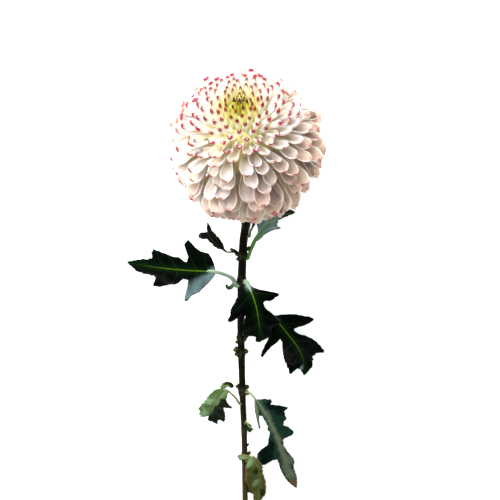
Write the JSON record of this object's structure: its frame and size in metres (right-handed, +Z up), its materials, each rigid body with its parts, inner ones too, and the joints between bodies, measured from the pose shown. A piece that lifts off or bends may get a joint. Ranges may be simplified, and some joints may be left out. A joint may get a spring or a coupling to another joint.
{
  "type": "disbud chrysanthemum",
  "caption": "Cut disbud chrysanthemum lying down: a ball of cream florets with crimson tips on a bare dark stem with lobed leaves.",
  "frame": {"origin": "on the surface that the flower lies on, under the middle of its bounding box", "axes": "+Z up from the surface, +Y along the stem toward the bloom, +X to the right of someone at the cut end facing the bloom"},
  "size_m": [0.1436, 0.403, 0.0976],
  "materials": {
    "petal": "soft satin, crimson at the tips",
    "petal_heart": "soft satin, very dark at the tips",
    "cup_green": "matte",
    "stem_bark": "satin, ribbed",
    "leaf_dark": "satin with a grey sheen",
    "leaf_underside": "matte, felted",
    "leaf_wilted": "matte, mottled"
  },
  "bodies": {
    "root": {"ray_florets": "petal", "centre_florets": "petal_heart", "involucre": "cup_green", "stem": "stem_bark", "leaf_left": "leaf_dark", "leaf_front": "leaf_dark", "leaf_right": "leaf_dark", "leaf_upper_right": "leaf_underside", "leaf_upper_left": "leaf_dark", "bract_top": "leaf_dark", "leaf_lower_left": "leaf_wilted", "leaf_lower_right": "leaf_dark", "leaf_base": "leaf_wilted"}
  },
  "joints": []
}
